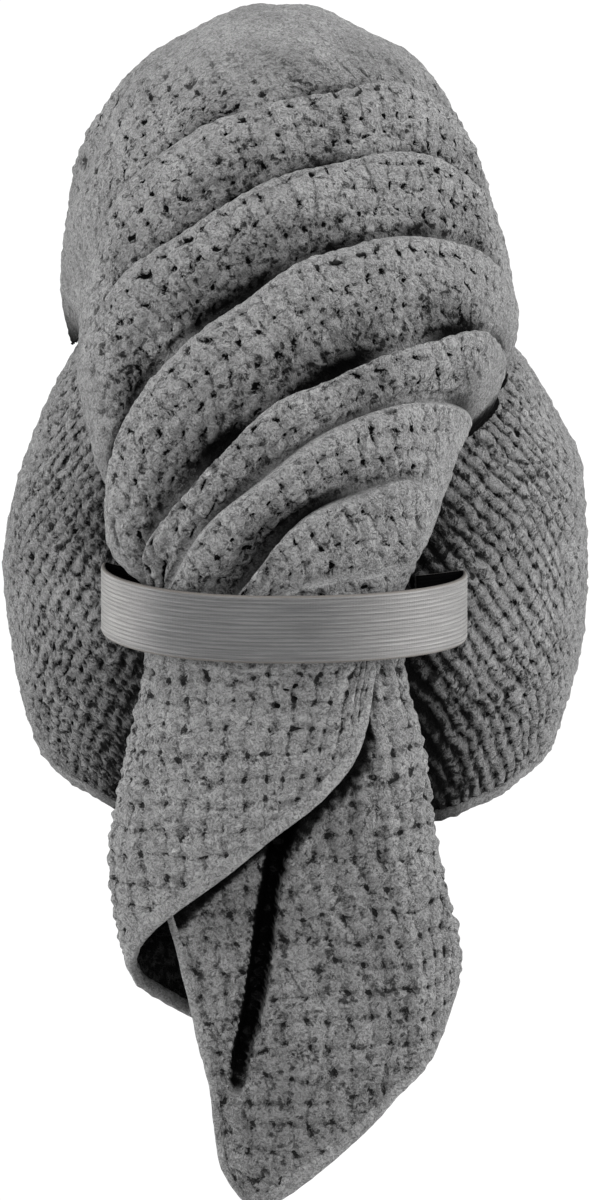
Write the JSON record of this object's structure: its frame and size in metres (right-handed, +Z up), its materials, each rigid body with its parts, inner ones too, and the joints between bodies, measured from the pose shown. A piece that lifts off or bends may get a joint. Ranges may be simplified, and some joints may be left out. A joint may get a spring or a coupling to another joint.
{
  "type": "hair turban towel",
  "caption": "Waffle-textured hair turban towel shaped as worn: a hood, a thick twist over the crown held by an elastic band behind, and a hanging folded tail.",
  "frame": {"origin": "inside of the hood's crown, where it sits on the top of the head", "axes": "+Z up, -Y towards the back of the head where the twist comes down and the tail hangs, +X to the wearer's right"},
  "size_m": [0.206, 0.2546, 0.4003],
  "materials": {
    "towelling": "matt waffle fleece",
    "hem": "matt, flat turned hem",
    "elastic": "ribbed woven elastic, slight sheen"
  },
  "bodies": {
    "root": {"hood": "towelling", "hood_hem": "hem", "crown_twist": "towelling", "elastic_band": "elastic", "tail": "towelling", "tail_hem": "hem"}
  },
  "joints": []
}
